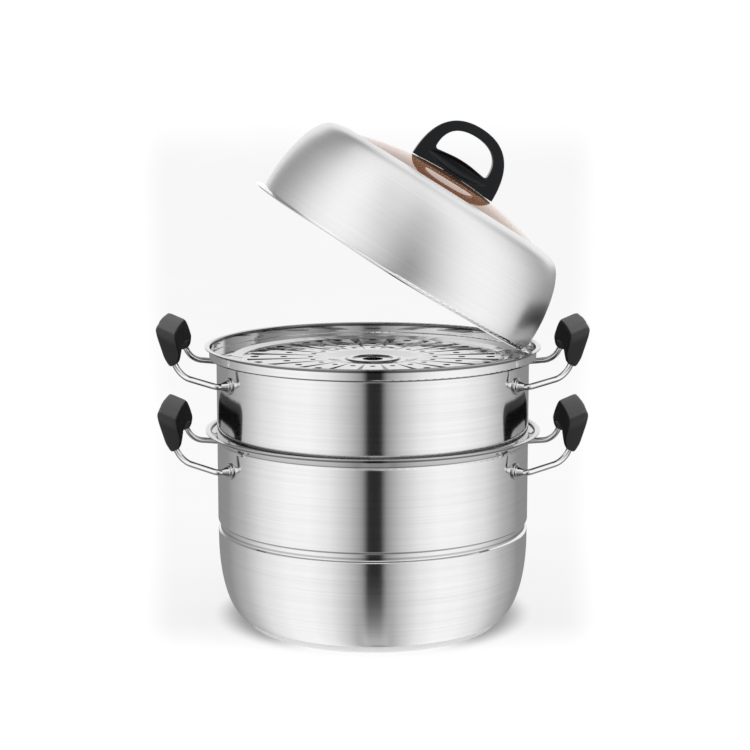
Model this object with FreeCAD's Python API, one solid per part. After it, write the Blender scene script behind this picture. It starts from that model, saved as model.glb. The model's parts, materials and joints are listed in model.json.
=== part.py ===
import FreeCAD, Part
import math
import os
from FreeCAD import Vector

# Steamer pot: a pot, a steamer tier nested in its rim, a loose steam plate and a tall lid with a
# glass top. Millimetres. Z is up, the pot stands on z = 0, the side handles point along X.
# The lid is modelled closed and then tipped open about its rim, which is the rest pose.

# Sheet metal and the walls
SHEET = 0.8                 # thickness of every steel sheet
WALL_R = 140.0              # outer radius of the pot and tier walls
NECK_STEP = 6.4             # a neck stands out from the wall by this
LIP_W = 4.0                 # width of a lip outside its neck
LIP_DROP = 0.6              # a lip falls by this towards its edge
LIP_BEND_R = 1.2            # bend from a neck into its lip
FIT = 0.1                   # clearance of close fits
SEAT_GAP = 0.25             # clearance between nested curved sheets

# Pot, from the base up
BASE_INSET = 26.0           # the base is this much smaller than the wall
BASE_H = 6.0
BASE_EDGE_R = 3.2           # rounded bottom edge of the base
FLOOR_LEDGE = 0.5           # flat of the pot floor outside the base
BOWL_H = 74.0               # height of the curved bowl over the base
BOWL_INSET = 0.3            # the bowl ends this far inside the wall
BOWL_PULL = (12.6, 45.0)    # pull of the bowl curve at its bottom and at its top
GROOVE_RISE = 7.2           # from the bowl to the waist groove
GROOVE_W = 7.4
GROOVE_DEPTH = 2.3
GROOVE_SLANT = 0.8          # half height of a slanted side of the groove
GROOVE_BEND_R = 1.1
GROOVE_EDGE_R = 2.4         # softer bend between the groove and the wall
POT_WALL_H = 72.6           # from the groove to the flare
FLARE_BEND_R = 3.0          # bend from the wall into the sloping flare
POT_NECK_BEND_R = 2.4
POT_NECK_H = 8.7            # from the flare to the underside of the lip

# Tier
TIER_CORNER_R = 6.0         # rounded edge of the tier floor, which sits in the flare of the pot
TIER_H = 77.0               # from the floor to the ledge, both undersides
LEDGE_BEND_R = 1.6
TIER_NECK_BEND_R = 2.2
TIER_NECK_H = 10.2          # from the ledge to the lip, both undersides
TIER_HOLE_R = 4.0           # holes in the floor of the tier
TIER_HOLE_RINGS = [0.0, 45.0, 90.0]     # radii of the rings of holes
TIER_HOLE_COUNTS = [1, 8, 16]           # holes in each ring

# Steam plate
PLATE_CLEAR = 1.6           # rim of the plate inside the neck of the tier
PLATE_RIM_W = 26.0          # flat rim and the slope to the field
PLATE_SLOPE_W = 8.0
PLATE_RISE = 1.8            # rim above the field
PLATE_BEND_R = 3.0
PLATE_DISH = 2.0            # middle of the plate below the field
DISH_R = (30.0, 43.0)       # inner and outer end of the slope into the middle
DISH_BEND_R = 8.0
RING_R = (16.6, 25.0)       # raised ring round the centre hole
RING_SIDE_W = 2.0           # width of a side of that ring
RING_H = 1.3
RING_BEND_R = 1.6
CENTRE_HOLE_R = 9.3
PETALS = 20                 # petals round the plate, with a pressed dart between two of them
DART_TIP_R = 42.0           # a dart starts here and widens outwards
DART_INSET = 5.0            # its wide end inside the field
DART_HALF = 4.8             # half width of the wide end
DART_DEPTH = 2.4
DART_STEEP = 4.0            # length of the steep end
PLATE_HOLES = [(62.0, 2.6), (38.0, 3.3), (12.0, 4.0)]   # distance inside the field, and radius

# Side handles, out from the wall and up from the foot
POT_FOOT_DROP = 17.7        # feet of a pot handle below the flare
TIER_FOOT_DROP = 16.4       # feet of a tier handle below the ledge
FOOT_ANGLE = 27.5           # a foot sits this far round the wall from the X axis
WASHER_R, WASHER_T = 7.3, 1.7
BOSS_R, BOSS_T = 5.4, 1.3   # raised middle of the foot washer
WASHER_EDGE_R = 0.5
ROD_R = 2.7
FLARE_R, FLARE_L = 4.7, 5.5             # flared foot of a rod
RIVET_R, RIVET_HEAD_R, RIVET_HEAD_T = 2.0, 4.8, 1.7
RIVET_EDGE_R = 1.1
RIVET_GRIP = 4.5            # how far a rivet reaches into a rod foot
FOOT_BEND = (3.5, 5.4)      # corner of a rod by the wall: distance from its flare, bend radius
LEG_BEND = (11.0, 18.0)     # corner of a rod under its grip: distance from the grip, bend radius
LEG_Y = 50.0                # a rod enters a grip this far from the X axis
LEG_START = (32.3, 16.2)    # where a rod enters its grip
LEG_LEAN = 24.2             # lean of a rod in its grip, in degrees from upright
LEG_DEPTH = 17.3            # length of a rod in its grip
GRIP_SIDE = [(36.6, 14.9, 2.0), (29.0, 18.3, 2.0), (27.6, 26.8, 3.0), (32.0, 42.2, 3.0),
             (32.0, 62.0), (54.6, 62.0), (45.4, 35.4, 6.0), (41.5, 23.2, 4.0)]
GRIP_CREST = 48.0           # the crest of a grip lies farther out than this
GRIP_CREST_R, GRIP_EDGE_R = 2.0, 1.5    # rounding of the crest and of the other edges
GRIP_SLOPE = 23.6           # the top of a grip falls towards the wall by this angle
GRIP_MID = 37.5             # where the heights of a grip are given
GRIP_TOP, GRIP_TOP_DROP = 47.6, 2.4     # height in the middle, and the fall to the ends
GRIP_HALF = 58.5            # half length of a grip
GRIP_END_R, GRIP_CROWN_R = 12.0, 900.0
GAP_HALF = 41.5             # half width of the finger gap
GAP_TOP, GAP_TOP_DROP = 32.5, 4.0       # underside of the bar over the gap, and its fall
GAP_END_R, GAP_CROWN_R = 10.0, 250.0

# Lid, heights above its seat on the steam plate
LID_CLEAR = 0.6             # rim of the lid inside the neck of the tier
LID_RIM_W = 7.8
LID_RIM_BEND_R = 2.2
LID_STRAIGHT = 16.0         # height of the straight wall
SHOULDER = (9.4, 65.0)      # where the wall passes into the shoulder: inset and height
SHOULDER_STEEP = 65.0       # slope there, in degrees
WALL_PULL = (17.3, 11.2)    # pull of the wall curve at its ends
SHOULDER_PULL = (14.8, 15.0)
LID_TOP_SLOPE = 9.0         # slope where the shoulder meets the frame of the pane, in degrees
LID_H = 83.0                # height of the steel there
PANE_GAP = 0.3              # between the edge of the pane and the steel
PANE_FRAME_W = 8.0          # frame round the pane, which rolls down to it
PANE_EDGE_BEND_R, PANE_SEAT_BEND_R = 4.5, 1.0
GLASS_R = 95.0
GLASS_T = 4.0
GLASS_CROWN = 14.8          # rise of the pane from its edge to its middle
GLASS_SUNK = 0.6            # edge of the pane below the frame
GLASS_HOLE_R = 4.0
SEAL_T = 0.9                # seal under the edge of the pane
SEAT_W = 4.6                # width of the steel seat under that seal
LID_TILT = 31.97            # how far the lid is tipped open
LID_AZIMUTH = 4.3           # the lid leans on the tier this far round from the X axis
LID_PIVOT_RISE = 4.5        # the tipping axis above the rim of the lid

# Handle on the lid, heights above the ends of its underside
KNOB_HALF = 41.0            # half length of its base
KNOB_H = 49.9
KNOB_SINK = 1.5             # the dome of the pane rises into the underside by this
KNOB_PULL = (33.1, 27.0)    # pull of the arch at its foot and at its top
KNOB_DEPTH = (11.5, 7.0)    # half depth at the base and at the top
KNOB_EDGE_R = 1.0           # rounding of its edges
HOLE_HALF = 26.6            # half width of the finger hole
HOLE_SILL = 17.7            # lower side of the finger hole in its middle
HOLE_DROP = 3.8             # its ends are lower by this
HOLE_CORNER_R, SILL_CROWN_R = 2.6, 90.0
HOLE_PULL = (16.7, 15.2)
KNOB_BAR = 8.7              # thickness of the bar over the finger hole
SCOOP_R, SCOOP_HALF = 7.0, 34.0         # hollow in the front and back of the base
SCOOP_Z = 9.4
SCOOP_EDGE_R = 0.6
SCOOP_WEB = 1.0             # plastic left between a hollow and the insert
INSERT_R, INSERT_L = 4.5, 12.5
SCREW_R, SCREW_HEAD_R, SCREW_HEAD_T = 2.5, 4.6, 2.6
SCREW_EDGE_R = 1.6
SCREW_TIP_GAP = 1.0         # end of the screw below the end of its insert
GASKET_R = 10.0
WASHER_INSET = 1.0          # the pieces under the pane are this much smaller
UPPER_GASKET_T, LOWER_GASKET_T, SCREW_WASHER_T = 0.5, 1.2, 1.0

# Derived sizes
REACH = 30.0                # cutting tools reach this far past what they cut
CURVE_POINTS = 24           # points on the inner side of a curved sheet
TOUCH = 0.001               # points nearer than this are one point
SHARP_ANGLE = 12.0          # faces that meet at more than this make a sharp edge
NECK_R = WALL_R + NECK_STEP
LIP_R = NECK_R + LIP_W
BASE_R = WALL_R - BASE_INSET
BOWL_TOP = (WALL_R - BOWL_INSET, BASE_H + BOWL_H)
GROOVE_LOW = BOWL_TOP[1] + GROOVE_RISE
GROOVE_HIGH = GROOVE_LOW + GROOVE_W
FLARE_Z = GROOVE_HIGH + POT_WALL_H
SEAT_RUN = FLARE_BEND_R + TIER_CORNER_R
SEAT_RISE = math.sqrt((SEAT_RUN + SHEET + SEAT_GAP) ** 2 - SEAT_RUN ** 2)
TIER_FLOOR_Z = (FLARE_Z - FLARE_BEND_R * math.tan(math.radians(22.5)) + SEAT_RISE
                - TIER_CORNER_R)
LEDGE_Z = TIER_FLOOR_Z + TIER_H
POT_FOOT_Z = FLARE_Z - POT_FOOT_DROP
TIER_FOOT_Z = LEDGE_Z - TIER_FOOT_DROP
PLATE_Z = LEDGE_Z + SHEET
PLATE_R = NECK_R - SHEET - PLATE_CLEAR
FIELD_R = PLATE_R - PLATE_RIM_W
FIELD_Z = PLATE_Z - PLATE_RISE
ROD_FOOT = WALL_R + WASHER_T + BOSS_T
LID_SEAT_Z = PLATE_Z + SHEET + FIT
LID_R = NECK_R - SHEET - LID_CLEAR
LID_WALL_R = LID_R - LID_RIM_W
GLASS_EDGE = LID_H - GLASS_SUNK
GLASS_TOP = GLASS_EDGE + GLASS_CROWN
PANE_SEAT = GLASS_EDGE - GLASS_T - SEAL_T
KNOB_BASE = GLASS_TOP - KNOB_SINK
KNOB_TOP = KNOB_BASE + KNOB_H
ORIGIN = Vector(0, 0, 0)
Z_AXIS = Vector(0, 0, 1)


def rz(point):
    """A profile point (r, z) in the XZ plane."""
    return Vector(point[0], 0, point[1])


def heading(angle):
    """Profile direction at an angle from the r axis, in degrees."""
    return Vector(math.cos(math.radians(angle)), 0, math.sin(math.radians(angle)))


def bent_path(corners):
    """Edges through (point, bend radius) pairs: straight runs joined by tangent arcs."""
    edges = []
    last = corners[0][0]
    for (before, _), (here, radius), (after, _) in zip(corners, corners[1:], corners[2:]):
        back = (before - here).normalize()
        ahead = (after - here).normalize()
        half = back.getAngle(ahead) / 2.0
        start = here + back * (radius / math.tan(half))
        end = here + ahead * (radius / math.tan(half))
        if (start - last).Length > TOUCH:
            edges.append(Part.makeLine(last, start))
        if radius > 0:
            top = here + (back + ahead).normalize() * (radius / math.sin(half) - radius)
            edges.append(Part.Arc(start, top, end).toShape())
        last = end
    edges.append(Part.makeLine(last, corners[-1][0]))
    return edges


def profile(points):
    """Edges through (r, z) points, a third number on a point rounds that corner."""
    return bent_path([(rz(p), p[2] if len(p) > 2 else 0.0) for p in points])


def swept_curve(start, leave, arrive, end, pull):
    """A smooth edge that leaves and arrives along two directions, pulled towards each of them."""
    curve = Part.BezierCurve()
    curve.setPoles([start, start + leave * pull[0], end - arrive * pull[1], end])
    return curve.toShape()


def turned(face):
    """A profile face turned into a solid about the Z axis."""
    return face.revolve(ORIGIN, Z_AXIS, 360)


def plain_edge(edge):
    """The edge itself, or a spline through points on it where it is an offset curve."""
    if not isinstance(edge.Curve, Part.OffsetCurve):
        return edge
    curve = Part.BSplineCurve()
    curve.interpolate(edge.discretize(CURVE_POINTS))
    return curve.toShape()


def turned_sheet(edges):
    """A turned sheet: the profile given, thickened to its left."""
    section = Part.Wire(edges).makeOffset2D(SHEET, 0, True, True)
    outline = [plain_edge(edge) for edge in section.OuterWire.OrderedEdges]
    return turned(Part.Face(Part.Wire(outline)))


def cylinder(radius, z0, z1, x=0.0, y=0.0):
    """An upright cylinder between two heights."""
    return Part.makeCylinder(radius, z1 - z0, Vector(x, y, z0))


def ring_points(radius, count):
    """Points spread evenly on a circle."""
    angles = [2.0 * math.pi * i / count for i in range(count)]
    return [(radius * math.cos(a), radius * math.sin(a)) for a in angles]


def radial(angle):
    """Unit vector pointing out of the wall."""
    return Vector(math.cos(math.radians(angle)), math.sin(math.radians(angle)), 0)


def spoke(angle, z, radius, r0, r1):
    """A cylinder that points out of the wall, from r0 to r1."""
    out = radial(angle)
    return Part.makeCylinder(radius, r1 - r0, out * r0 + Vector(0, 0, z), out)


def rounded_rim(shape, centre, radius):
    """The shape with its round edge about a centre rounded off."""
    rim = [e for e in shape.Edges if (e.CenterOfMass - centre).Length < TOUCH]
    return shape.makeFillet(radius, rim)


def sharp_edges(shape, wanted):
    """Edges where two faces meet at an angle and whose middle is wanted."""
    found = []
    for edge in shape.Edges:
        faces = shape.ancestorsOfType(edge, Part.Face)
        middle = edge.valueAt((edge.FirstParameter + edge.LastParameter) / 2.0)
        if len(faces) == 2 and wanted(middle):
            first, second = [f.normalAt(*f.Surface.parameter(middle)) for f in faces]
            if math.degrees(first.getAngle(second)) > SHARP_ANGLE:
                found.append(edge)
    return found


def drill_feet(body, z):
    """The rivet holes of two handles in a wall."""
    for angle in (FOOT_ANGLE, -FOOT_ANGLE, 180.0 - FOOT_ANGLE, 180.0 + FOOT_ANGLE):
        body = body.cut(spoke(angle, z, RIVET_R + FIT, WALL_R - REACH, WALL_R + REACH))
    return body


def pot_body():
    """Floor, bowl, waist groove, wall, flare and lip in one sheet."""
    bowl_start = rz((BASE_R + FLOOR_LEDGE, BASE_H))
    groove_r = WALL_R - GROOVE_DEPTH
    lip_z = FLARE_Z + POT_NECK_H
    edges = [Part.makeLine(rz((0, BASE_H)), bowl_start),
             swept_curve(bowl_start, heading(0), heading(90), rz(BOWL_TOP), BOWL_PULL)]
    edges += profile([BOWL_TOP, (BOWL_TOP[0], GROOVE_LOW - GROOVE_SLANT, GROOVE_BEND_R),
                      (groove_r, GROOVE_LOW + GROOVE_SLANT, GROOVE_BEND_R),
                      (groove_r, GROOVE_HIGH - GROOVE_SLANT, GROOVE_BEND_R),
                      (WALL_R, GROOVE_HIGH + GROOVE_SLANT, GROOVE_EDGE_R),
                      (WALL_R, FLARE_Z, FLARE_BEND_R),
                      (NECK_R, FLARE_Z + NECK_STEP, POT_NECK_BEND_R),
                      (NECK_R, lip_z + LIP_DROP, LIP_BEND_R), (LIP_R, lip_z)])
    return drill_feet(turned_sheet(edges), POT_FOOT_Z)


def base_cap():
    """Steel cup that holds the heat-spreading core under the pot."""
    return turned_sheet(profile([(0, 0), (BASE_R, 0, BASE_EDGE_R), (BASE_R, BASE_H)]))


def base_core():
    """The heat-spreading core, which fills the cap."""
    core = cylinder(BASE_R - SHEET - FIT, SHEET, BASE_H)
    return rounded_rim(core, Vector(0, 0, SHEET), BASE_EDGE_R - SHEET)


def tier_body():
    """Perforated floor, wall, ledge, neck and lip of the steamer tier in one sheet."""
    lip_z = LEDGE_Z + TIER_NECK_H
    body = turned_sheet(profile([(0, TIER_FLOOR_Z), (WALL_R, TIER_FLOOR_Z, TIER_CORNER_R),
                                 (WALL_R, LEDGE_Z, LEDGE_BEND_R),
                                 (NECK_R, LEDGE_Z, TIER_NECK_BEND_R),
                                 (NECK_R, lip_z + LIP_DROP, LIP_BEND_R), (LIP_R, lip_z)]))
    for radius, count in zip(TIER_HOLE_RINGS, TIER_HOLE_COUNTS):
        for x, y in ring_points(radius, count):
            body = body.cut(cylinder(TIER_HOLE_R, TIER_FLOOR_Z - SHEET, TIER_FLOOR_Z + 2 * SHEET, x, y))
    return drill_feet(body, TIER_FOOT_Z)


def dart(angle, z, grow):
    """A pressed dart between two petals, its top at z."""
    end = FIELD_R - DART_INSET
    half = DART_HALF + grow
    left = Vector(end + grow, half, z)
    right = Vector(end + grow, -half, z)
    tip = Vector(DART_TIP_R - 3.0 * grow, 0, z)
    deep = Vector(end - DART_STEEP, 0, z - DART_DEPTH)
    corners = [(tip, left, right), (tip, deep, left), (tip, right, deep), (left, deep, right)]
    faces = [Part.Face(Part.makePolygon(list(c) + [c[0]])) for c in corners]
    solid = Part.Solid(Part.Shell(faces))
    if solid.Volume < 0:
        solid.reverse()
    return solid.rotate(ORIGIN, Z_AXIS, angle)


def steam_plate():
    """Dished plate with petals, three rings of holes and a ringed centre hole."""
    middle = FIELD_Z - PLATE_DISH
    crest = middle + RING_H
    inner, outer = RING_R
    plate = turned_sheet(profile([(CENTRE_HOLE_R, middle), (inner, middle, RING_BEND_R),
                                  (inner + RING_SIDE_W, crest, RING_BEND_R),
                                  (outer - RING_SIDE_W, crest, RING_BEND_R),
                                  (outer, middle, RING_BEND_R), (DISH_R[0], middle, DISH_BEND_R),
                                  (DISH_R[1], FIELD_Z, DISH_BEND_R), (FIELD_R, FIELD_Z, PLATE_BEND_R),
                                  (FIELD_R + PLATE_SLOPE_W, PLATE_Z, PLATE_BEND_R),
                                  (PLATE_R, PLATE_Z)]))
    angles = [360.0 / PETALS * (i + 0.5) for i in range(PETALS)]
    plate = plate.fuse([dart(a, FIELD_Z, SHEET) for a in angles])
    plate = plate.cut([dart(a, FIELD_Z + SHEET, 0.0) for a in angles])
    holes = []
    for inset, radius in PLATE_HOLES:
        for x, y in ring_points(FIELD_R - inset, PETALS):
            holes.append(cylinder(radius, middle - REACH, PLATE_Z + REACH, x, y))
    return plate.cut(holes)


def foot_washer(angle, z):
    """Disc with a raised middle, hollowed to sit on the wall."""
    out, level = radial(angle), Vector(0, 0, z)
    face = WALL_R + WASHER_T
    disc = spoke(angle, z, WASHER_R, WALL_R - REACH, face)
    boss = spoke(angle, z, BOSS_R, face - WASHER_T, ROD_FOOT)
    disc = rounded_rim(disc, out * face + level, WASHER_EDGE_R)
    disc = disc.fuse(rounded_rim(boss, out * ROD_FOOT + level, WASHER_EDGE_R))
    disc = disc.cut(cylinder(WALL_R, z - REACH, z + REACH))
    return disc.cut(spoke(angle, z, RIVET_R + FIT, WALL_R - REACH, WALL_R + REACH))


def rivet(angle, z):
    """Round head inside the wall and a shank that reaches into the rod foot."""
    inner = WALL_R - SHEET
    top = inner - RIVET_HEAD_T
    head = spoke(angle, z, RIVET_HEAD_R, top, WALL_R)
    head = rounded_rim(head, radial(angle) * top + Vector(0, 0, z), RIVET_EDGE_R)
    head = head.common(cylinder(inner, z - REACH, z + REACH))
    shank = spoke(angle, z, RIVET_R, top + RIVET_EDGE_R, ROD_FOOT + RIVET_GRIP)
    return head.fuse(shank).removeSplitter()


def leg_axis(side):
    """Start and direction of the bore for a rod in the +X tier grip, side is 1 at the back."""
    start = Vector(WALL_R + LEG_START[0], LEG_Y * side, TIER_FOOT_Z + LEG_START[1])
    return start, heading(90.0 - LEG_LEAN)


def handle_rod():
    """Front rod of the +X tier handle: flared foot, two bends and a leg inside the grip."""
    out = radial(-FOOT_ANGLE)
    level = Vector(0, 0, TIER_FOOT_Z)
    entry, lean = leg_axis(-1)
    start = out * (ROD_FOOT + FLARE_L) + level
    corners = [(start, 0.0), (start + out * FOOT_BEND[0], FOOT_BEND[1]),
               (entry - lean * LEG_BEND[0], LEG_BEND[1]), (entry + lean * LEG_DEPTH, 0.0)]
    section = Part.Face(Part.Wire(Part.Circle(start, out, ROD_R).toShape()))
    rod = Part.Wire(bent_path(corners)).makePipe(section)
    foot = Part.makeCone(FLARE_R, ROD_R, FLARE_L, out * ROD_FOOT + level, out)
    bore = spoke(-FOOT_ANGLE, TIER_FOOT_Z, RIVET_R + FIT, WALL_R, ROD_FOOT + RIVET_GRIP + FIT)
    return rod.fuse(foot.cut(bore)).removeSplitter()


def slanted_arch(half, top, drop, end_r, crown_r):
    """An arched outline across a grip, pushed along X parallel to the sloping top of the grip."""
    low = TIER_FOOT_Z - REACH
    mid = TIER_FOOT_Z + top
    face = Part.Face(Part.Wire(profile([(0, low), (half, low), (half, mid - drop, end_r),
                                        (0, mid, crown_r), (-half, mid - drop, end_r),
                                        (-half, low), (0, low)])))
    face.rotate(ORIGIN, Z_AXIS, 90)
    push = Vector(2.0 * REACH, 0, 2.0 * REACH * math.tan(math.radians(GRIP_SLOPE)))
    face.translate(Vector(WALL_R + GRIP_MID, 0, 0) - push * 0.5)
    return face.extrude(push)


def grip():
    """Soft-edged saddle of the +X tier handle with a bore for each rod."""
    section = [(WALL_R + out, TIER_FOOT_Z + up, *bend) for out, up, *bend in GRIP_SIDE]
    last, first = section[-1], section[0]
    seam = ((last[0] + first[0]) / 2.0, (last[1] + first[1]) / 2.0)
    side = Part.Face(Part.Wire(profile([seam] + section + [seam])))
    side.translate(Vector(0, -GRIP_HALF, 0))
    bar = side.extrude(Vector(0, 2.0 * GRIP_HALF, 0))
    body = bar.common(slanted_arch(GRIP_HALF, GRIP_TOP, GRIP_TOP_DROP, GRIP_END_R, GRIP_CROWN_R))
    crest = sharp_edges(body, lambda middle: middle.x > WALL_R + GRIP_CREST)
    body = body.makeFillet(GRIP_CREST_R, crest)
    body = body.cut(slanted_arch(GAP_HALF, GAP_TOP, GAP_TOP_DROP, GAP_END_R, GAP_CROWN_R))
    body = body.makeFillet(GRIP_EDGE_R, sharp_edges(body, lambda middle: True))
    for side in (1, -1):
        entry, lean = leg_axis(side)
        bore = Part.makeCylinder(ROD_R + FIT, LEG_DEPTH + FIT + REACH, entry - lean * REACH, lean)
        body = body.cut(bore)
    return body


def lid_shell():
    """Rim, wall, rounded shoulder, rolled frame and seat of the pane in one sheet, closed."""
    step = GLASS_R + PANE_GAP
    wall_top = (LID_WALL_R, LID_STRAIGHT)
    shoulder = rz((LID_WALL_R - SHOULDER[0], SHOULDER[1]))
    steep = heading(180.0 - SHOULDER_STEEP)
    frame = (GLASS_R + PANE_FRAME_W, LID_H)
    edges = profile([(LID_R, SHEET), (LID_WALL_R, SHEET, LID_RIM_BEND_R), wall_top])
    edges.append(swept_curve(rz(wall_top), heading(90), steep, shoulder, WALL_PULL))
    edges.append(swept_curve(shoulder, steep, heading(180.0 - LID_TOP_SLOPE), rz(frame),
                             SHOULDER_PULL))
    frame_rise = (frame[0] - step) * math.tan(math.radians(LID_TOP_SLOPE))
    edges += profile([frame, (step, LID_H + frame_rise, PANE_EDGE_BEND_R),
                      (step, PANE_SEAT, PANE_SEAT_BEND_R), (step - SEAT_W, PANE_SEAT)])
    return turned_sheet(edges)


def glass_sphere(drop):
    """The ball whose top is the upper face of the pane, or a face that far below it."""
    radius = (GLASS_R ** 2 + GLASS_CROWN ** 2) / (2.0 * GLASS_CROWN)
    return Part.makeSphere(radius - drop, Vector(0, 0, GLASS_TOP - radius))


def lid_glass():
    """Domed pane with a hole for the handle screw."""
    low, high = PANE_SEAT - REACH, GLASS_TOP + REACH
    pane = cylinder(GLASS_R, low, high).common(glass_sphere(0.0)).cut(glass_sphere(GLASS_T))
    return pane.cut(cylinder(GLASS_HOLE_R, low, high))


def glass_seal():
    """Soft ring on the flat of the seat, under the edge of the pane."""
    high = PANE_SEAT + GLASS_T
    outer = GLASS_R + PANE_GAP - PANE_SEAT_BEND_R
    ring = cylinder(outer, PANE_SEAT, high).cut(cylinder(GLASS_R - SEAT_W, PANE_SEAT, high))
    return ring.common(glass_sphere(GLASS_T + FIT))


def arch(half, foot, top, pull):
    """A symmetric arch from (half, foot) over the height top, as two edges."""
    crown = rz((0, top))
    return [swept_curve(rz((half, foot)), heading(90), heading(180), crown, pull),
            swept_curve(crown, heading(180), heading(-90), rz((-half, foot)), pull[::-1])]


def over_base(point):
    """Whether a point of the lid handle lies above its underside."""
    return point.z > KNOB_BASE + TOUCH


def lid_handle():
    """D-shaped handle with a finger hole, scooped faces and a bore for its insert."""
    wide, slim = KNOB_DEPTH
    depth = Vector(0, 2.0 * REACH, 0)
    sill = KNOB_BASE + HOLE_SILL
    base = profile([(-KNOB_HALF, KNOB_BASE), (KNOB_HALF, KNOB_BASE)])
    outline = Part.Face(Part.Wire(arch(KNOB_HALF, KNOB_BASE, KNOB_TOP, KNOB_PULL) + base))
    low = profile([(-HOLE_HALF, sill), (-HOLE_HALF, sill - HOLE_DROP, HOLE_CORNER_R),
                   (0, sill, SILL_CROWN_R), (HOLE_HALF, sill - HOLE_DROP, HOLE_CORNER_R),
                   (HOLE_HALF, sill)])
    hole = Part.Face(Part.Wire(arch(HOLE_HALF, sill, KNOB_TOP - KNOB_BAR, HOLE_PULL) + low))
    body = outline.extrude(depth).cut(hole.extrude(depth))
    body.translate(depth * -0.5)
    ends = [(wide, KNOB_BASE), (slim, KNOB_TOP), (-slim, KNOB_TOP), (-wide, KNOB_BASE)]
    taper = Part.Face(Part.makePolygon([Vector(-KNOB_HALF, y, z) for y, z in ends + ends[:1]]))
    body = body.common(taper.extrude(Vector(2.0 * KNOB_HALF, 0, 0)))
    body = body.makeFillet(KNOB_EDGE_R, sharp_edges(body, over_base))
    tip = Vector(SCOOP_HALF, 0, 0)
    bow = Part.Arc(tip * -1.0, Vector(0, 0, SCOOP_R), tip).toShape()
    scoop = Part.Face(Part.Wire([bow, Part.makeLine(tip, tip * -1.0)])).revolve(ORIGIN, tip, 360)
    for side in (1.0, -1.0):
        offset = side * (INSERT_R + SCOOP_WEB + SCOOP_R)
        body = body.cut(scoop.translated(Vector(0, offset, KNOB_BASE + SCOOP_Z)))
    body = body.makeFillet(SCOOP_EDGE_R, sharp_edges(body, over_base))
    body = body.cut(glass_sphere(-UPPER_GASKET_T))
    return body.cut(cylinder(INSERT_R, KNOB_BASE - REACH, KNOB_BASE + INSERT_L))


def lid_fastening():
    """Insert, screw, washer and both gaskets, named as they are exported."""
    under = GLASS_TOP - GLASS_T
    washer_top = under - LOWER_GASKET_T
    head_top = washer_top - SCREW_WASHER_T
    head_low = head_top - SCREW_HEAD_T
    small_r = GASKET_R - WASHER_INSET
    insert_top = KNOB_BASE + INSERT_L
    head = cylinder(SCREW_HEAD_R, head_low, head_top)
    head = rounded_rim(head, Vector(0, 0, head_low), SCREW_EDGE_R)
    shank = cylinder(SCREW_R, head_low + SCREW_EDGE_R, insert_top - SCREW_TIP_GAP)
    screw = head.fuse(shank).removeSplitter()
    seat = glass_sphere(-UPPER_GASKET_T)
    rings = {"handle_insert": cylinder(INSERT_R, under, insert_top).cut(seat),
             "upper_gasket": cylinder(GASKET_R, under, insert_top).common(seat).cut(glass_sphere(-FIT)),
             "lower_gasket": cylinder(small_r, washer_top, under).common(glass_sphere(GLASS_T + FIT)),
             "screw_washer": cylinder(small_r, head_top, washer_top)}
    clear = cylinder(SCREW_R + FIT, head_low, insert_top)
    pieces = {name: ring.cut(clear) for name, ring in rings.items()}
    pieces["handle_screw"] = screw
    return pieces


def tipped(shape):
    """A lid piece lifted to its seat and tipped open about the rim."""
    out = radial(LID_AZIMUTH)
    axis = Vector(-out.y, out.x, 0)
    pivot = out * LID_R + Vector(0, 0, LID_SEAT_Z + LID_PIVOT_RISE)
    lifted = shape.translated(Vector(0, 0, LID_SEAT_Z))
    return lifted.rotate(pivot, axis, LID_TILT)


def side_handles():
    """All four side handles, placed from the pieces of the +X tier handle."""
    angles = [-FOOT_ANGLE, FOOT_ANGLE]
    front = handle_rod()
    back = front.mirror(ORIGIN, Vector(0, 1, 0))
    shared = {"grip": grip(),
              "washers": Part.makeCompound([foot_washer(a, TIER_FOOT_Z) for a in angles]),
              "rivets": Part.makeCompound([rivet(a, TIER_FOOT_Z) for a in angles])}
    rods = {"right": {"front_rod": front, "back_rod": back},
            "left": {"front_rod": back, "back_rod": front}}
    placed = {}
    for layer, drop in (("tier", 0.0), ("pot", TIER_FOOT_Z - POT_FOOT_Z)):
        for side, turn in (("right", 0.0), ("left", 180.0)):
            for name, shape in {**shared, **rods[side]}.items():
                lowered = shape.translated(Vector(0, 0, -drop))
                placed[f"{layer}_{side}_{name}"] = lowered.rotate(ORIGIN, Z_AXIS, turn)
    return placed


def build():
    """Every piece of the steamer, by node name."""
    parts = {"pot_body": pot_body(), "base_cap": base_cap(), "base_core": base_core(),
             "tier_body": tier_body(), "steam_plate": steam_plate()}
    lid = {"lid_shell": lid_shell(), "lid_glass": lid_glass(), "glass_seal": glass_seal(),
           "lid_handle": lid_handle(), **lid_fastening()}
    parts.update({name: tipped(shape) for name, shape in lid.items()})
    parts.update(side_handles())
    return parts


os.makedirs("parts", exist_ok=True)
for node, shape in build().items():
    shape.exportStep(f"parts/{node}.step")
    print(f"{node:24s} solids {len(shape.Solids)} valid {shape.isValid()} volume {shape.Volume:.0f}")
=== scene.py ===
# %% [markdown]
# # A steel steamer pot, dressed in Blender
# The real thing is a stack: a pot, a steamer tier that nests in its rim, a loose steam plate and a tall
# lid with a glass top, here tipped open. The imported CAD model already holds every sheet, rod and grip in
# metres and in place, so nothing has to be fitted by eye. It is loaded first, as a fixed frame, and the
# lesson then gives each piece the finish that the real one has.

# %% Load the frame
import json
import math
import bpy
from mathutils import Matrix, Vector

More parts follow.
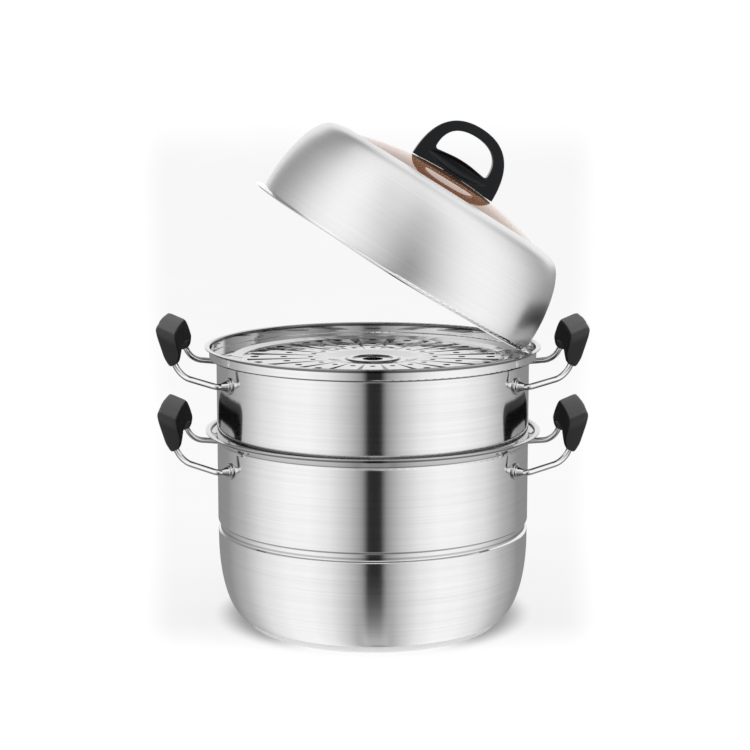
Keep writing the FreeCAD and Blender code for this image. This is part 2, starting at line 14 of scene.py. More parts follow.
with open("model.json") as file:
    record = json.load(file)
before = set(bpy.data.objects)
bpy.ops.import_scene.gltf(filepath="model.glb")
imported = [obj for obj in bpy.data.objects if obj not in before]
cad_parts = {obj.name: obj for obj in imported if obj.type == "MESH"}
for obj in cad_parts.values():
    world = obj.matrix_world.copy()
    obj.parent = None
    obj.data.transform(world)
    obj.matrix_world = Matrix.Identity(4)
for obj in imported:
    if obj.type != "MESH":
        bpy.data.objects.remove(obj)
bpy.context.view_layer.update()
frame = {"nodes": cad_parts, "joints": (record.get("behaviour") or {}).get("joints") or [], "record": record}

nodes = frame["nodes"]

# %% [markdown]
# ## Camera
# The photograph was taken from a little above the rim of the tier, a good way back, with a long lens: the
# rims are flat ellipses and the walls hardly taper. The place and the lens were worked out from those
# ellipses. The tiny sideways shift keeps the pot a hair left of the middle, as in the photograph.

# %% Camera
IMAGE_PX = 750.0
LENS_PX = 1948.0                    # focal length in pixels of that image
SHIFT_PX = 2.25
SENSOR_MM = 36.0
CAMERA_AT = (0.0, -1.730, 0.504)
CAMERA_DIP = math.radians(9.18)
LEVEL_LOOK = math.radians(90.0)     # a camera without any turn looks straight down
lens = bpy.data.cameras.new("photo_lens")
lens.sensor_width = SENSOR_MM
lens.lens = LENS_PX / IMAGE_PX * SENSOR_MM
lens.shift_x = SHIFT_PX / IMAGE_PX
camera = bpy.data.objects.new("camera", lens)
camera.location = CAMERA_AT
camera.rotation_euler = (LEVEL_LOOK - CAMERA_DIP, 0.0, 0.0)
bpy.context.scene.collection.objects.link(camera)
bpy.context.scene.camera = camera
print(f"camera with a {lens.lens:.1f} mm lens")

# %% [markdown]
# ## Wiring nodes by hand
# A material in Blender is a small graph of nodes. A few helpers keep the cells below short. The first adds a
# node and fills or links its sockets in one call. The others do the same for the nodes that come up again
# and again: arithmetic, a smooth step, a soft window, and mixes of values and of colours.

# %% Node helpers
def add(tree, kind, sockets=None, **settings):
    """A new node; sockets are values or other nodes' outputs, settings are its own properties."""
    node = tree.nodes.new(kind)
    for name, value in settings.items():
        setattr(node, name, value)
    for name, value in (sockets or {}).items():
        if isinstance(value, bpy.types.NodeSocket):
            tree.links.new(value, node.inputs[name])
        else:
            node.inputs[name].default_value = value
    return node


def calc(tree, operation, *values):
    """The output of one Math node."""
    return add(tree, "ShaderNodeMath", dict(enumerate(values)), operation=operation).outputs[0]


def between(tree, value, low, high, out_low=0.0, out_high=1.0):
    """A value moved smoothly from one range to another and held at the ends."""
    node = add(tree, "ShaderNodeMapRange", {"Value": value, "From Min": low, "From Max": high,
                                            "To Min": out_low, "To Max": out_high},
               interpolation_type="SMOOTHSTEP")
    return node.outputs["Result"]


def window(tree, value, low, high, soft):
    """1 inside a range and 0 outside it, with soft ends."""
    rise = between(tree, value, low - soft, low + soft)
    fall = between(tree, value, high - soft, high + soft, 1.0, 0.0)
    return calc(tree, "MULTIPLY", rise, fall)


def blend_values(tree, share, first, second):
    """A mix of two values, with none of the second at a share of 0."""
    node = add(tree, "ShaderNodeMix", {"Factor": share, "A": first, "B": second}, data_type="FLOAT")
    return node.outputs["Result"]


def blend_colours(tree, share, first, second, blend_type="MIX"):
    """A mix of two colours, with none of the second at a share of 0."""
    node = add(tree, "ShaderNodeMix", {"Factor": share, "A": first, "B": second}, data_type="RGBA",
               blend_type=blend_type)
    return node.outputs["Result"]


def grey_tone(level):
    """An opaque grey of one brightness."""
    return (level, level, level, 1.0)


print("node helpers ready")

# %% [markdown]
# ## Studio light
# Steel has hardly any colour of its own: what we see is the studio around it. The walls of the real pot
# show one narrow black stripe down the middle, then a long bright slope to either side that fades to grey
# at the edges. So the studio has a black strip behind the camera, two tall soft boxes at the sides and a
# dim back. Since the pot is round, all of that depends on the direction round the pot alone, which makes a
# ramp in the world shader the simplest way to build it. On the bowl, which leans back towards its foot, the
# stripe is as wide as on the wall. So below the horizon the ramp follows half the way between the camera
# and the mirrored spot: that is where the steel itself faces, whatever its lean.

# %% Studio world
HALF_CIRCLE = 180.0
STRIP_SHIFT = 0.02                  # the strip stands a touch to the right of the camera
LEAN_FROM, LEAN_TO = -0.17, -0.35   # heights, from -1 down to 1 up, where the ramp takes up the lean
STUDIO_STOPS = [                    # degrees away from the camera, brightness there
    (0.0, 0.024), (4.6, 0.026), (9.0, 0.36), (19.0, 0.66), (33.0, 0.98), (48.0, 1.12),
    (66.0, 1.10), (88.0, 0.90), (108.0, 0.56), (134.0, 0.32), (180.0, 0.25)]
world = bpy.data.worlds.new("studio")
bpy.context.scene.world = world
world.use_nodes = True
sky = world.node_tree
direction = add(sky, "ShaderNodeSeparateXYZ", {0: add(sky, "ShaderNodeTexCoord").outputs["Generated"]})
side, depth, height = direction.outputs
aside = calc(sky, "ABSOLUTE", calc(sky, "SUBTRACT", side, STRIP_SHIFT))
level_turn = calc(sky, "ARCTAN2", aside, calc(sky, "MULTIPLY", depth, -1.0))
half_turn = calc(sky, "ARCTAN2", aside, calc(sky, "SUBTRACT", math.cos(CAMERA_DIP), depth))
leaning_turn = calc(sky, "MULTIPLY", half_turn, 2.0)
turn = blend_values(sky, between(sky, height, LEAN_FROM, LEAN_TO), level_turn, leaning_turn)
turn = calc(sky, "DIVIDE", turn, math.radians(1.0))
ramp = add(sky, "ShaderNodeValToRGB", {"Fac": calc(sky, "DIVIDE", turn, HALF_CIRCLE)})
stops = ramp.color_ramp.elements
while len(stops) < len(STUDIO_STOPS):
    stops.new(1.0)
for stop, (degrees, brightness) in zip(stops, STUDIO_STOPS):
    stop.position = degrees / HALF_CIRCLE
    stop.color = grey_tone(brightness)
level = ramp.outputs["Color"]
print("studio ramp with", len(stops), "stops")

# %% [markdown]
# A few more patches finish the studio. Below the horizon there is white paper, which slowly thins the black
# strip towards the ground. Above the height of the rims the strip fades in two steps, and a soft ceiling
# hangs straight above. Low behind the pot runs a band of light, with a tall white card to the right of it:
# the flat steam plate and the glass and shoulder of the tipped lid look that way, and they need something
# white to mirror.

# %% Paper, ceiling and white card
PAPER_SLOPE, PAPER_START, PAPER_POWER = -1.2, -0.2, 2.2
PAPER_EDGE, PAPER_SHARE = (5.0, 15.0), 0.5                  # degrees over which the strip is thinned
RIM_FADE, RIM_SHARE = (0.0, 0.25), 0.4                      # heights of the first fade of the strip
TOP_FADE, TOP_SHARE = (0.4, 0.7), 0.6                       # heights of the second
FADE_EDGE = (5.0, 20.0)
CEILING = (0.85, 0.98)
BAND_HEIGHTS, BAND_SOFT, BAND_TURN = (-0.05, 0.52), 0.03, (145.0, 160.0)
CARD_HEIGHTS, CARD_SIDES, CARD_SOFT, CARD_DEPTHS = (-0.05, 0.80), (0.15, 0.68), 0.05, (0.2, 0.4)
WHITE, CARD_WHITE = 1.0, 1.05
down = calc(sky, "MAXIMUM", calc(sky, "MULTIPLY_ADD", height, PAPER_SLOPE, PAPER_START), 0.0)
thin = calc(sky, "MULTIPLY", calc(sky, "POWER", down, PAPER_POWER),
            between(sky, turn, *PAPER_EDGE, PAPER_SHARE, 0.0))
level = blend_values(sky, thin, level, WHITE)
fade = calc(sky, "ADD", between(sky, height, *RIM_FADE, 0.0, RIM_SHARE),
            between(sky, height, *TOP_FADE, 0.0, TOP_SHARE))
fade = calc(sky, "MULTIPLY", fade, between(sky, turn, *FADE_EDGE, 1.0, 0.0))
level = blend_values(sky, fade, level, WHITE)
level = blend_values(sky, between(sky, height, *CEILING), level, WHITE)
low_band = calc(sky, "MULTIPLY", window(sky, height, *BAND_HEIGHTS, BAND_SOFT),
                between(sky, turn, *BAND_TURN))
tall_card = calc(sky, "MULTIPLY", window(sky, height, *CARD_HEIGHTS, CARD_SOFT),
                 window(sky, side, *CARD_SIDES, CARD_SOFT))
tall_card = calc(sky, "MULTIPLY", tall_card, between(sky, depth, *CARD_DEPTHS))
level = blend_values(sky, calc(sky, "MAXIMUM", low_band, tall_card), level, CARD_WHITE)
backdrop_light = next(n for n in sky.nodes if n.type == "BACKGROUND")
sky.links.new(level, backdrop_light.inputs["Color"])
print("world with", len(sky.nodes), "nodes")

# %% [markdown]
# ## Paper sweep
# The picture has no horizon: pot and background lie on one sheet of white paper that curves up at the back.
# That sheet is a single strip of faces here. It is hidden from mirror-like reflections, so that the steel
# sees the studio and not the paper.

# %% Paper sweep
SWEEP_HALF_W = 4.0
SWEEP_FRONT, SWEEP_BACK, SWEEP_R, SWEEP_TOP = -2.5, 1.2, 0.9, 3.0
SWEEP_STEP = 6                      # degrees of the bend to one face
bend = [math.radians(a) for a in range(0, 91, SWEEP_STEP)]
outline = [(SWEEP_FRONT, 0.0)]
outline += [(SWEEP_BACK + SWEEP_R * math.sin(a), SWEEP_R * (1.0 - math.cos(a))) for a in bend]
outline.append((SWEEP_BACK + SWEEP_R, SWEEP_TOP))
corners = [(x, y, z) for y, z in outline for x in (-SWEEP_HALF_W, SWEEP_HALF_W)]
strips = [(2 * i, 2 * i + 1, 2 * i + 3, 2 * i + 2) for i in range(len(outline) - 1)]
sweep_mesh = bpy.data.meshes.new("paper_sweep")
sweep_mesh.from_pydata(corners, [], strips)
sweep_mesh.polygons.foreach_set("use_smooth", [True] * len(strips))
sweep = bpy.data.objects.new("paper_sweep", sweep_mesh)
bpy.context.scene.collection.objects.link(sweep)
sweep.visible_glossy = False
print("paper sweep with", len(strips), "strips")

# %% [markdown]
# A little of the paper's brightness is lamp light and the rest a glow of its own, as if it were lit from
# behind. Such a glow takes no shadow, so a mask paints a shadow on it, dimming it to the left and right of
# the foot. Right behind the pot a second mask paints the paper a touch greyer, a patch of painted shade with
# soft edges. One large soft lamp hangs overhead, hidden from the mirrors too.

# %% Paper and overhead lamp
FIBRE_DARK, FIBRE_LIGHT = 0.15, 0.17
GLOW, GREY_GLOW = 0.88, 0.74
GREY_SIDES, GREY_SIDE_SOFT = (-0.117, 0.114), 0.014         # sideways per metre away from the camera
GREY_HEIGHTS, GREY_TOP_SOFT = (-1.0, 0.38), 0.09
GREY_FLOOR = (-0.15, -0.01)                                 # where the patch comes in along the floor
SHADE = 0.68                        # share of the glow taken off the paper right beside the pot: a painted shadow
SHADE_REACH = (0.118, 0.149)        # from the foot to the end of the shade
SHADE_BEHIND = 0.02                 # the shade lies a little behind the pot
SHADE_ASIDE = (0.05, 0.10)
SHADE_HEIGHT = 0.01
LAMP_SIZE, LAMP_WATTS, LAMP_AT = (3.0, 2.4), 26.0, (0.0, -0.2, 2.2)
paper = bpy.data.materials.new("white_paper")
paper.use_nodes = True
paper_tree = paper.node_tree
x, y, z = add(paper_tree, "ShaderNodeSeparateXYZ",
              {0: add(paper_tree, "ShaderNodeTexCoord").outputs["Object"]}).outputs
slant = calc(paper_tree, "DIVIDE", x, calc(paper_tree, "SUBTRACT", y, camera.location.y))
# Painted shade: a soft-edged grey patch on the paper right behind the pot, where the glow is lower.
grey = calc(paper_tree, "MULTIPLY", window(paper_tree, slant, *GREY_SIDES, GREY_SIDE_SOFT),
            window(paper_tree, z, *GREY_HEIGHTS, GREY_TOP_SOFT))
grey = calc(paper_tree, "MULTIPLY", grey, between(paper_tree, y, *GREY_FLOOR))
# Painted shadow: the glow is dimmed to the left and right of the pot's foot.
behind = calc(paper_tree, "SUBTRACT", y, SHADE_BEHIND)
from_foot = add(paper_tree, "ShaderNodeCombineXYZ", {"X": x, "Y": behind})
reach = add(paper_tree, "ShaderNodeVectorMath", {0: from_foot.outputs[0]}, operation="LENGTH")
painted_shadow = calc(paper_tree, "MULTIPLY", between(paper_tree, reach.outputs["Value"], *SHADE_REACH, SHADE, 0.0),
           between(paper_tree, calc(paper_tree, "ABSOLUTE", x), *SHADE_ASIDE))
painted_shadow = calc(paper_tree, "MULTIPLY", painted_shadow, between(paper_tree, z, 0.0, SHADE_HEIGHT, 1.0, 0.0))
fibre = add(paper_tree, "ShaderNodeTexNoise", {"Scale": 60.0, "Detail": 3.0})
tone = blend_colours(paper_tree, fibre.outputs["Fac"], grey_tone(FIBRE_DARK), grey_tone(FIBRE_LIGHT))
glow = blend_colours(paper_tree, grey, grey_tone(GLOW), grey_tone(GREY_GLOW))
glow = blend_colours(paper_tree, painted_shadow, glow, grey_tone(0.0))
paper_shader = paper_tree.nodes["Principled BSDF"]
paper_tree.links.new(tone, paper_shader.inputs["Base Color"])
paper_tree.links.new(glow, paper_shader.inputs["Emission Color"])
paper_shader.inputs["Emission Strength"].default_value = 1.0
paper_shader.inputs["Roughness"].default_value = 0.9
paper_shader.inputs["Specular IOR Level"].default_value = 0.1
sweep_mesh.materials.append(paper)

lamp = bpy.data.lights.new("overhead_soft_box", "AREA")
lamp.shape = "RECTANGLE"
lamp.size, lamp.size_y = LAMP_SIZE
lamp.energy = LAMP_WATTS
overhead = bpy.data.objects.new("overhead_soft_box", lamp)
overhead.location = LAMP_AT
overhead.visible_glossy = False
bpy.context.scene.collection.objects.link(overhead)
bpy.context.scene.view_settings.view_transform = "Standard"
print("paper with", len(paper_tree.nodes), "nodes and a lamp of", lamp.energy, "W")

# %% [markdown]
# ## Brush marks that run round the pot
# The walls and the lid were brushed while they turned, so the marks are fine rings. A noise texture gives
# such rings when it is squeezed along the turning axis and stretched round it. One node group does this for
# every turned sheet: it first turns the point back to the upright position (only the tipped lid needs
# that), then measures how far along the sheet the point lies and looks up the noise there. *Line* is the
# fine grain, *Cloud* a slow change that keeps a big wall from looking dead, and *Height* tells how far up
# the upright piece the point lies.

# %% Brush mark group
def group(name, inputs, outputs):
    """A shader node group with named value or vector inputs and value outputs."""
    tree = bpy.data.node_groups.new(name, "ShaderNodeTree")
    for socket, default in inputs.items():
        kind = "NodeSocketVector" if isinstance(default, tuple) else "NodeSocketFloat"
        tree.interface.new_socket(socket, in_out="INPUT", socket_type=kind).default_value = default
    for socket in outputs:
        tree.interface.new_socket(socket, in_out="OUTPUT", socket_type="NodeSocketFloat")
    return tree, add(tree, "NodeGroupInput"), add(tree, "NodeGroupOutput")


brush_marks, given, result = group(
    "turned_brush_marks",
    {"Lines": 450.0, "Streaks": 4.0, "Lean": 1.0, "Pivot": (0.0, 0.0, 0.0), "Axis": (0.0, 1.0, 0.0),
     "Angle": 0.0},
    ["Line", "Cloud", "Height"])
point = add(brush_marks, "ShaderNodeVectorRotate",
            {"Vector": add(brush_marks, "ShaderNodeTexCoord").outputs["Object"],
             "Center": given.outputs["Pivot"], "Axis": given.outputs["Axis"],
             "Angle": given.outputs["Angle"]}, rotation_type="AXIS_ANGLE")
x, y, z = add(brush_marks, "ShaderNodeSeparateXYZ", {0: point.outputs[0]}).outputs
flat = add(brush_marks, "ShaderNodeCombineXYZ", {"X": x, "Y": y})
radius = add(brush_marks, "ShaderNodeVectorMath", {0: flat.outputs[0]}, operation="LENGTH")
along = calc(brush_marks, "MULTIPLY_ADD", radius.outputs["Value"], given.outputs["Lean"], z)
squeezed = add(brush_marks, "ShaderNodeCombineXYZ",
               {"X": calc(brush_marks, "MULTIPLY", x, given.outputs["Streaks"]),
                "Y": calc(brush_marks, "MULTIPLY", y, given.outputs["Streaks"]),
                "Z": calc(brush_marks, "MULTIPLY", along, given.outputs["Lines"])})
grain = add(brush_marks, "ShaderNodeTexNoise",
            {"Vector": squeezed.outputs[0], "Scale": 1.0, "Detail": 3.0, "Roughness": 0.6})
cloud = add(brush_marks, "ShaderNodeTexNoise", {"Vector": point.outputs[0], "Scale": 22.0, "Detail": 2.0})
brush_marks.links.new(grain.outputs["Fac"], result.inputs["Line"])
brush_marks.links.new(cloud.outputs["Fac"], result.inputs["Cloud"])
brush_marks.links.new(z, result.inputs["Height"])
print("group", brush_marks.name, "with", len(brush_marks.nodes), "nodes")

# %% [markdown]
# ## Material helpers
# Every finish below starts from plain values, gets a base colour that a mask varies a little, and then a
# few darker spots or a fine bump. These four steps are functions.

# %% Material helpers
def new_material(name, colour, roughness, metallic=0.0):
    """A material with plain starting values; returns it with its tree and its shader."""
    material = bpy.data.materials.new(name)
    material.use_nodes = True
    shader = material.node_tree.nodes["Principled BSDF"]
    shader.inputs["Base Color"].default_value = (*colour, 1.0)
    shader.inputs["Roughness"].default_value = roughness
    shader.inputs["Metallic"].default_value = metallic
    return material, material.node_tree, shader


def shade(tree, shader, colour, factor, spread):
    """Base colour that a mask darkens and lightens by a small spread."""
    dark, light = [tuple(c * (1.0 + s) for c in colour) + (1.0,) for s in (-spread, spread)]
    tree.links.new(blend_colours(tree, factor, dark, light), shader.inputs["Base Color"])


def darken(tree, shader, mask, tone):
    """Lower the base colour to a share of itself where a mask is 1."""
    before = shader.inputs["Base Color"].links[0].from_socket
    share = blend_values(tree, mask, 1.0, tone)
    share = add(tree, "ShaderNodeCombineColor", {"Red": share, "Green": share, "Blue": share})
    after = blend_colours(tree, 1.0, before, share.outputs[0], "MULTIPLY")
    tree.links.new(after, shader.inputs["Base Color"])


def dent(tree, shader, height, distance):
    """A height mask as a bump of a real depth in metres."""
    bump = add(tree, "ShaderNodeBump", {"Height": height, "Distance": distance, "Strength": 1.0})
    tree.links.new(bump.outputs["Normal"], shader.inputs["Normal"])


print("material helpers ready")

# %% [markdown]
# ## Brushed steel
# A brushed wall mirrors its surroundings sharply along the marks and smears them across the marks. The
# Principled shader calls that anisotropy. It needs to know which way the marks run: the cross product of
# the turning axis with the surface normal gives that direction everywhere, on an upright wall and on the
# tipped lid alike. The wall of the pot is finely brushed and still mirrors the grips; the lid is a coarser,
# softer finish. Necks, lips and the rim of the lid stay mirror-bright, since no brush reaches them: there a
# range of heights turns the roughness down. The tight creases of a rim and the groove get painted shade:
# each crease is a range of heights where the base colour is painted darker, for the shade and the dark
# reflections that fall there.

# %% Brushed steel materials
LID_TILT = math.radians(31.97)
LINE_WEAR, CLOUD_WEAR = 0.04, 0.03          # how much grain and clouds vary the roughness
MIRROR_ROUGHNESS = 0.06
SMEAR = 0.6                                 # 0 smears all ways alike, 1 only across the marks
MIRROR_SOFT, CREASE_SOFT = 0.0004, 0.0003   # metres over which the finish changes
QUARTER_TURN = 0.25
UPRIGHT = (0.0, 0.0, 1.0)
lid_joint = next(j for j in frame["joints"] if j["name"] == "lid_tip")
lid_pivot, lid_hinge = Vector(lid_joint["pos_m"]), Vector(lid_joint["axis"])
lid_axis = Matrix.Rotation(LID_TILT, 3, lid_hinge) @ Vector(UPRIGHT)


def brushed_steel(name, colour, roughness, contrast, marks, bright, painted_shade_bands=(), axis=UPRIGHT):
    """Steel brushed round a turning axis, mirror-bright in a range of heights, with painted shade in its
    creases.
    """
    material, tree, shader = new_material(name, colour, roughness, 1.0)
    brushed = add(tree, "ShaderNodeGroup", marks, node_tree=brush_marks)
    line, cloud, height = brushed.outputs
    shade(tree, shader, colour, line, contrast)
    # Painted shade: each band of heights darkens the base colour.
    for low, high, tone in painted_shade_bands:
        darken(tree, shader, window(tree, height, low, high, CREASE_SOFT), tone)
    smoothest = roughness - (LINE_WEAR + CLOUD_WEAR) / 2.0
    worn = calc(tree, "MULTIPLY_ADD", line, LINE_WEAR,
                calc(tree, "MULTIPLY_ADD", cloud, CLOUD_WEAR, smoothest))
    mirror = window(tree, height, *bright, MIRROR_SOFT)
    tree.links.new(blend_values(tree, mirror, worn, MIRROR_ROUGHNESS), shader.inputs["Roughness"])
    shader.inputs["Anisotropic"].default_value = SMEAR
    shader.inputs["Anisotropic Rotation"].default_value = QUARTER_TURN
    own_axis = add(tree, "ShaderNodeCombineXYZ", dict(zip("XYZ", axis)))
    world_axis = add(tree, "ShaderNodeVectorTransform", {0: own_axis.outputs[0]}, vector_type="VECTOR",
                     convert_from="OBJECT", convert_to="WORLD")
    normal = add(tree, "ShaderNodeNewGeometry").outputs["Normal"]
    round_about = add(tree, "ShaderNodeVectorMath", {0: world_axis.outputs[0], 1: normal},
                      operation="CROSS_PRODUCT")
    tree.links.new(round_about.outputs[0], shader.inputs["Tangent"])
    return material


WALL = {"colour": (0.80, 0.80, 0.80), "roughness": 0.11, "contrast": 0.10, "marks": {"Lines": 450.0}}
LID_MARKS = {"Lines": 800.0, "Lean": -1.0, "Pivot": tuple(lid_pivot), "Axis": tuple(lid_hinge),
             "Angle": -LID_TILT}
POT_BRIGHT, TIER_BRIGHT, LID_BRIGHT = (0.167, 1.0), (0.2405, 1.0), (0.0, 0.2462)
# Painted shade and dark reflections in the groove, flare and lip of the pot.
POT_PAINTED_SHADE = [                     # from one height to another in metres, share of the tone that is left
    (0.0888, 0.0906, 0.62), (0.0938, 0.0957, 0.40), (0.1684, 0.1698, 0.35), (0.1698, 0.1738, 0.66),
    (0.1738, 0.1765, 0.20), (0.1765, 0.1780, 0.70)]
# Painted shade in the ledge bend and under the lip of the tier.
TIER_PAINTED_SHADE = [(0.2408, 0.2430, 0.20), (0.2494, 0.2522, 0.20), (0.2522, 0.2540, 0.70)]
finishes = {
    "pot_body": brushed_steel("pot_wall_steel", **WALL, bright=POT_BRIGHT, painted_shade_bands=POT_PAINTED_SHADE),
    "tier_body": brushed_steel("tier_wall_steel", **WALL, bright=TIER_BRIGHT, painted_shade_bands=TIER_PAINTED_SHADE),
    "brushed_lid": brushed_steel("brushed_lid_steel", (0.86, 0.86, 0.86), roughness=0.37, contrast=0.07,
                                 marks=LID_MARKS, bright=LID_BRIGHT, axis=tuple(lid_axis)),
}
print("brushed finishes:", ", ".join(finishes))

# %% [markdown]
# ## Mirror polish
# Rods, washers and the steam plate are polished. A perfect mirror looks like computer graphics, so a slow
# noise makes the polish a little uneven, in roughness and in the flatness of the sheet. The same group
# serves the polished pieces and the glass. Two pieces also get painted shade and painted dark reflections
# in their base colour: the pressed slopes of the steam plate are painted darker than its flat, and the
# rods are painted darker on their undersides and their very tops than on their upper front. How steeply
# the surface leans tells which is which.

# %% Polish group and polished materials
WAVE_TO_HAZE = 1.6                  # the waves are finer than the haze by this
HAZE_CONTRAST = 0.04
uneven, given, result = group("uneven_polish", {"Scale": 40.0}, ["Haze", "Wave"])
place = add(uneven, "ShaderNodeTexCoord").outputs["Object"]
haze = add(uneven, "ShaderNodeTexNoise", {"Vector": place, "Scale": given.outputs["Scale"], "Detail": 4.0})
wave_scale = calc(uneven, "MULTIPLY", given.outputs["Scale"], WAVE_TO_HAZE)
wave = add(uneven, "ShaderNodeTexNoise", {"Vector": place, "Scale": wave_scale, "Detail": 1.0})
uneven.links.new(haze.outputs["Fac"], result.inputs["Haze"])
uneven.links.new(wave.outputs["Fac"], result.inputs["Wave"])


def polished(name, colour, roughness, scale, wave_depth, metallic=1.0):
    """Mirror-polished metal with a little haze and a barely uneven surface."""
    material, tree, shader = new_material(name, colour, roughness, metallic)
    surface = add(tree, "ShaderNodeGroup", {"Scale": scale}, node_tree=uneven)
    haze, wave = surface.outputs
    shade(tree, shader, colour, haze, HAZE_CONTRAST)
    tree.links.new(calc(tree, "MULTIPLY_ADD", haze, roughness, roughness / 2.0), shader.inputs["Roughness"])
    dent(tree, shader, wave, wave_depth)
    return material


def paint_shade_by_lean(finish, low, high, soft, tone):
    """Paint shade on a finish outside a range of leans, from -1 facing down to 1 facing up."""
    tree = finish.node_tree
    normal = add(tree, "ShaderNodeNewGeometry").outputs["Normal"]
    lean = add(tree, "ShaderNodeSeparateXYZ", {0: normal}).outputs["Z"]
    shaded_by_lean = calc(tree, "SUBTRACT", 1.0, window(tree, lean, low, high, soft))
    darken(tree, tree.nodes["Principled BSDF"], shaded_by_lean, tone)


PAST_UP = 2.0                       # past any lean, so that a range has no upper end
POLISHED = {                        # name, colour, roughness, scale of the haze, depth of waves in metres
    "polished_plate": ("polished_plate_steel", (0.54, 0.54, 0.54), 0.07, 45.0, 0.0003),
    "polished_steel": ("polished_rod_steel", (0.84, 0.84, 0.84), 0.06, 90.0, 0.0001),
    "rivet_steel": ("plain_rivet_steel", (0.72, 0.72, 0.71), 0.22, 120.0, 0.0001),
    "core_aluminium": ("rolled_aluminium", (0.77, 0.78, 0.79), 0.35, 30.0, 0.0002),
    "insert_brass": ("turned_brass", (0.74, 0.56, 0.26), 0.25, 150.0, 0.0001),
}
for slot, values in POLISHED.items():
    finishes[slot] = polished(*values)
finishes["base_steel"] = polished("pale_base_steel", (0.86, 0.86, 0.86), roughness=0.55, scale=60.0,
                                  wave_depth=0.0001, metallic=0.3)
# Painted shade: the pressed slopes of the steam plate are darker than its flat.
paint_shade_by_lean(finishes["polished_plate"], low=0.955, high=PAST_UP, soft=0.02, tone=0.22)
# Painted dark reflections along the undersides and tops of the rods.
paint_shade_by_lean(finishes["polished_steel"], low=-0.10, high=0.70, soft=0.15, tone=0.25)
print("polished finishes:", ", ".join([*POLISHED, "base_steel"]))

# %% [markdown]
# ## Black moulded plastic
# Grips and lid handle are satin black plastic from a spark-eroded mould: the surface is a field of tiny
# soft bumps, well under a millimetre across. The group gives that grain and a slow change in gloss where
# hands polish the plastic. The handle on the lid is a shade bluer and glossier than the grips. The inner
# side of a grip, between its two legs, is painted darker as painted shade, and made duller. The faces of a
# grip that lean away from straight up are painted darker too, so that its top is the palest face: painted
# light from above.

# %% Mould grain group and plastics
RUB_CONTRAST = 0.12                 # how much the rub of hands varies colour and roughness
mould, given, result = group("mould_grain", {"Scale": 1400.0}, ["Grain", "Rub"])
place = add(mould, "ShaderNodeTexCoord").outputs["Object"]
fine = add(mould, "ShaderNodeTexNoise", {"Vector": place, "Scale": given.outputs["Scale"], "Detail": 2.0})
rub = add(mould, "ShaderNodeTexNoise", {"Vector": place, "Scale": 35.0, "Detail": 3.0})
mould.links.new(fine.outputs["Fac"], result.inputs["Grain"])
mould.links.new(rub.outputs["Fac"], result.inputs["Rub"])


def plastic(name, colour, roughness, gloss, scale, depth):
    """Moulded plastic or rubber with a fine grain."""
    material, tree, shader = new_material(name, colour, roughness)
    surface = add(tree, "ShaderNodeGroup", {"Scale": scale}, node_tree=mould)
    grain, rub = surface.outputs
    shade(tree, shader, colour, rub, RUB_CONTRAST)
    rubbed = calc(tree, "MULTIPLY_ADD", rub, RUB_CONTRAST, roughness - RUB_CONTRAST / 2.0)
    tree.links.new(rubbed, shader.inputs["Roughness"])
    dent(tree, shader, grain, depth)
    shader.inputs["Specular IOR Level"].default_value = gloss
    return material


def paint_inner_shade(finish, full, none, tone):
    """Paint shade on the faces of a grip that look towards the pot and dull them, from -1 inward to 1
    outward.
    """
    tree = finish.node_tree
    shader = tree.nodes["Principled BSDF"]
    geometry = add(tree, "ShaderNodeNewGeometry")
    facing = add(tree, "ShaderNodeSeparateXYZ", {0: geometry.outputs["Normal"]}).outputs["X"]
    place = add(tree, "ShaderNodeSeparateXYZ", {0: geometry.outputs["Position"]}).outputs["X"]
    outward = calc(tree, "MULTIPLY", facing, calc(tree, "SIGN", place))
    inner_shade = between(tree, outward, full, none, 1.0, 0.0)
    darken(tree, shader, inner_shade, tone)
    rubbed = shader.inputs["Roughness"].links[0].from_socket
    tree.links.new(blend_values(tree, inner_shade, rubbed, 1.0), shader.inputs["Roughness"])


PLASTICS = {                        # name, colour, roughness, gloss, scale of the grain, depth in metres
    "black_grip": ("black_grip_plastic", (0.044, 0.044, 0.044), 0.46, 0.06, 1400.0, 0.00008),
    "black_handle": ("black_handle_plastic", (0.008, 0.009, 0.011), 0.30, 0.28, 1400.0, 0.00006),
    "dark_seal": ("dark_seal_rubber", (0.02, 0.02, 0.02), 0.6, 0.2, 900.0, 0.0001),
}
for slot, values in PLASTICS.items():
    finishes[slot] = plastic(*values)
# Painted light from above: grip faces that lean away from up are darker than the top.
paint_shade_by_lean(finishes["black_grip"], low=0.45, high=PAST_UP, soft=0.25, tone=0.60)
# Painted shade on the inner faces of the grips, between their legs.
paint_inner_shade(finishes["black_grip"], full=-0.85, none=-0.55, tone=0.35)
print("plastics:", ", ".join(PLASTICS))

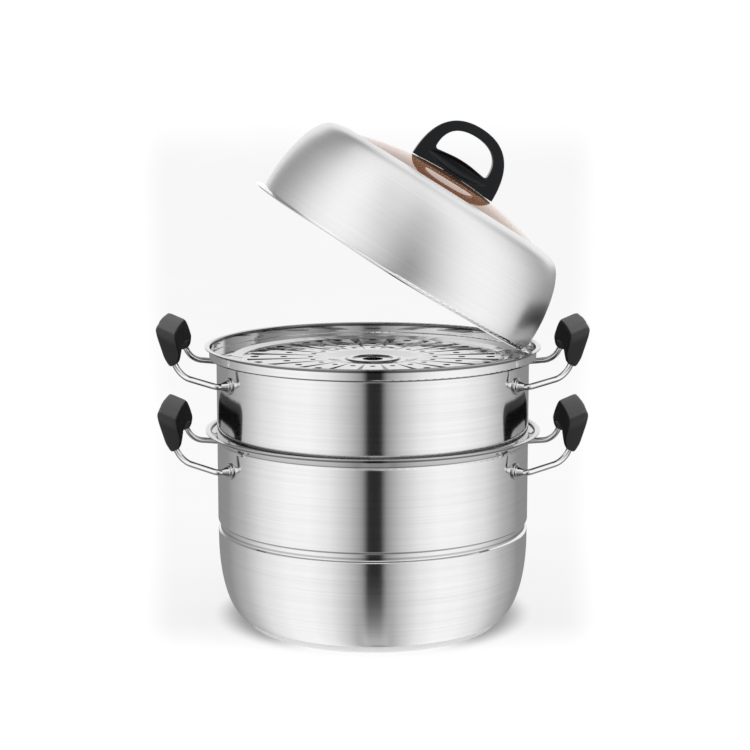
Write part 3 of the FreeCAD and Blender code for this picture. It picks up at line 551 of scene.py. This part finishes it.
# %% [markdown]
# ## Soft grips
# A moulded grip has no hard edges: its facets melt into each other. The CAD pieces keep their facets crisp,
# so two modifiers soften the picture alone. The first lays an even mesh over the solid, the second relaxes
# that mesh again and again, which rounds every edge by a few millimetres and leaves the flat facets in
# place.

# %% Soft grips
SOFT_CELL = 0.001
SOFT_PASSES = 30
grips = [piece for name, piece in nodes.items() if name.endswith("_grip")]
for piece in grips:
    even = piece.modifiers.new("even_mesh", "REMESH")
    even.mode = "VOXEL"
    even.voxel_size = SOFT_CELL
    even.use_smooth_shade = True
    soft = piece.modifiers.new("soft_edges", "SMOOTH")
    soft.iterations = SOFT_PASSES
print(len(grips), "grips softened")

# %% [markdown]
# ## Tea-brown glass
# The pane is clear glass with a brown tint in its body. Seen at the flat angle of this view it mirrors the
# pale studio, and the brown only shows where the handle blocks that mirror image. Principled glass does
# both by itself: Transmission lets the tint through, and its Fresnel term brings the mirror at a flat
# angle. A thin coat makes that mirror a little stronger. The pane is kept out of other mirrors, so that the
# steam plate below it stays the neutral silver of the photograph.

# %% Glass
GLASS_BROWN = (0.32, 0.115, 0.045)
GLASS_HAZE = 0.03
glass, tree, shader = new_material("tea_brown_glass", GLASS_BROWN, GLASS_HAZE)
shader.inputs["Transmission Weight"].default_value = 0.7
shader.inputs["IOR"].default_value = 1.52
shader.inputs["Coat Weight"].default_value = 0.2
surface = add(tree, "ShaderNodeGroup", {"Scale": 30.0}, node_tree=uneven)
tree.links.new(calc(tree, "MULTIPLY", surface.outputs["Haze"], GLASS_HAZE), shader.inputs["Roughness"])
nodes["lid_glass"].visible_glossy = False
finishes["brown_glass"] = glass
print("glass made")

# %% [markdown]
# ## Putting the finishes on
# Every CAD piece already names the finish that it should have, as a slot of the record. So one loop hands
# them all out, and a missing finish would stop the script here. Pot and tier have a finish each, under
# their own names, because their bright necks lie at different heights.

# %% Hand out the finishes
for row in frame["record"]["subparts"]:
    finish = finishes.get(row["node"]) or finishes[row["material_slot"]]
    nodes[row["node"]].data.materials.clear()
    nodes[row["node"]].data.materials.append(finish)
